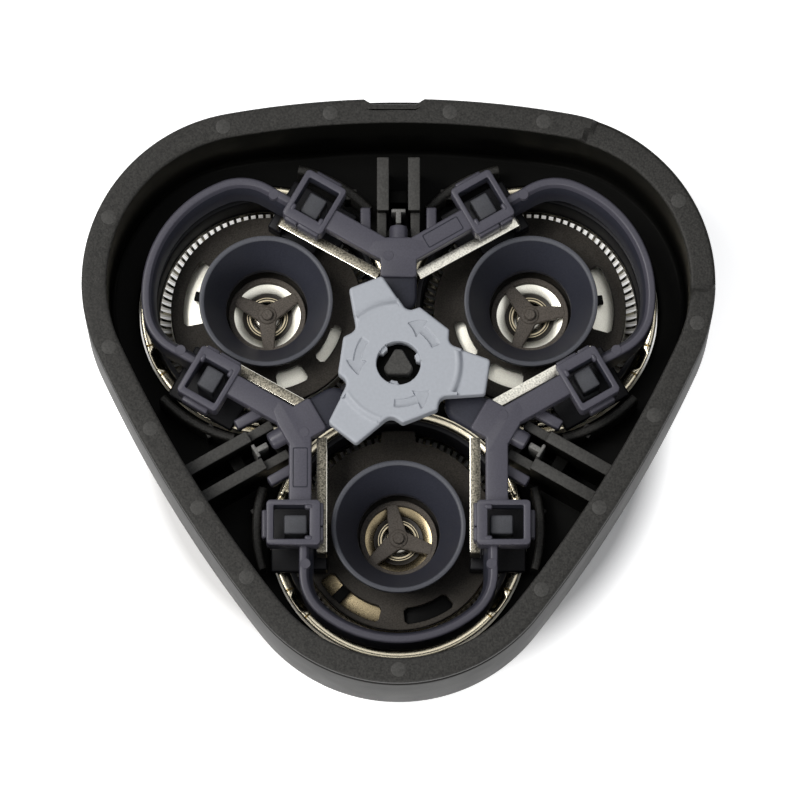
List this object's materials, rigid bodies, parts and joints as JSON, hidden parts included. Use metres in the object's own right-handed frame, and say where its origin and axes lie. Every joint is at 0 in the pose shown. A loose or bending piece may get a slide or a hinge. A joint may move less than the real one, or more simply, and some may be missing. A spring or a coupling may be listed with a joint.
{
  "type": "rotary shaver head",
  "caption": "Rounded triangular shaver head, open at its back: a dark housing holds round sprung cutter heads with steel guards, a retaining frame and a turning lock.",
  "frame": {"origin": "under the middle of the housing's outline, at the height of the guards' skin faces", "axes": "+Z towards the open back, +X across the widest side, -Y towards the single front head"},
  "size_m": [0.0656, 0.0616, 0.0179],
  "materials": {
    "dark_shell": "near-black warm grey plastic with a fine spark-eroded grain",
    "frame_plastic": "satin blue-violet grey moulding",
    "lock_plastic": "light blue-grey satin moulding",
    "spring_steel": "speckled spring strip",
    "guard_steel": "turned and polished steel",
    "warm_steel": "polished champagne steel",
    "carrier_plastic": "black-grey moulding",
    "plate_plastic": "brown-black fine matt moulding",
    "funnel_plastic": "dark navy satin moulding",
    "coupling_plastic": "brown-grey filled plastic"
  },
  "bodies": {
    "root": {"outer_cover": "dark_shell", "holder": "dark_shell", "retaining_frame": "frame_plastic", "leaf_spring_front_a": "spring_steel", "leaf_spring_front_b": "spring_steel", "leaf_spring_right_a": "spring_steel", "leaf_spring_right_b": "spring_steel", "leaf_spring_left_a": "spring_steel", "leaf_spring_left_b": "spring_steel"},
    "lock": {"lock": "lock_plastic"},
    "head_front": {"guard_front": "guard_steel", "trim_ring_front": "warm_steel", "head_carrier_front": "carrier_plastic", "head_plate_front": "plate_plastic", "drive_funnel_front": "funnel_plastic"},
    "cutter_front": {"cutter_front": "guard_steel", "cutter_coupling_front": "coupling_plastic"},
    "head_right": {"guard_right": "guard_steel", "trim_ring_right": "warm_steel", "head_carrier_right": "carrier_plastic", "head_plate_right": "plate_plastic", "drive_funnel_right": "funnel_plastic"},
    "cutter_right": {"cutter_right": "guard_steel", "cutter_coupling_right": "coupling_plastic"},
    "head_left": {"guard_left": "guard_steel", "trim_ring_left": "warm_steel", "head_carrier_left": "carrier_plastic", "head_plate_left": "plate_plastic", "drive_funnel_left": "funnel_plastic"},
    "cutter_left": {"cutter_left": "guard_steel", "cutter_coupling_left": "coupling_plastic"}
  },
  "joints": [
    {"name": "lock_turn", "type": "hinge", "parent": "root", "child": "lock", "pos_m": [0, 0.00286, 0.0159], "axis": [0, 0, 1], "range_deg": [0, 30]},
    {"name": "head_front_tilt", "type": "hinge", "parent": "root", "child": "head_front", "pos_m": [0, -0.01314, 0.0045], "axis": [1, 0, 0], "range_deg": [-3.5, 3.5], "stiffness_Nm_per_rad": 0.06},
    {"name": "head_right_tilt", "type": "hinge", "parent": "root", "child": "head_right", "pos_m": [0.01386, 0.01086, 0.0045], "axis": [-0.5, 0.866, 0], "range_deg": [-3.5, 3.5], "stiffness_Nm_per_rad": 0.06},
    {"name": "head_left_tilt", "type": "hinge", "parent": "root", "child": "head_left", "pos_m": [-0.01386, 0.01086, 0.0045], "axis": [-0.5, -0.866, 0], "range_deg": [-3.5, 3.5], "stiffness_Nm_per_rad": 0.06},
    {"name": "cutter_front_spin", "type": "hinge", "parent": "head_front", "child": "cutter_front", "pos_m": [0, -0.01314, 0.002], "axis": [0, 0, 1], "continuous": true},
    {"name": "cutter_right_spin", "type": "hinge", "parent": "head_right", "child": "cutter_right", "pos_m": [0.01386, 0.01086, 0.002], "axis": [0, 0, 1], "continuous": true},
    {"name": "cutter_left_spin", "type": "hinge", "parent": "head_left", "child": "cutter_left", "pos_m": [-0.01386, 0.01086, 0.002], "axis": [0, 0, 1], "continuous": true}
  ]
}
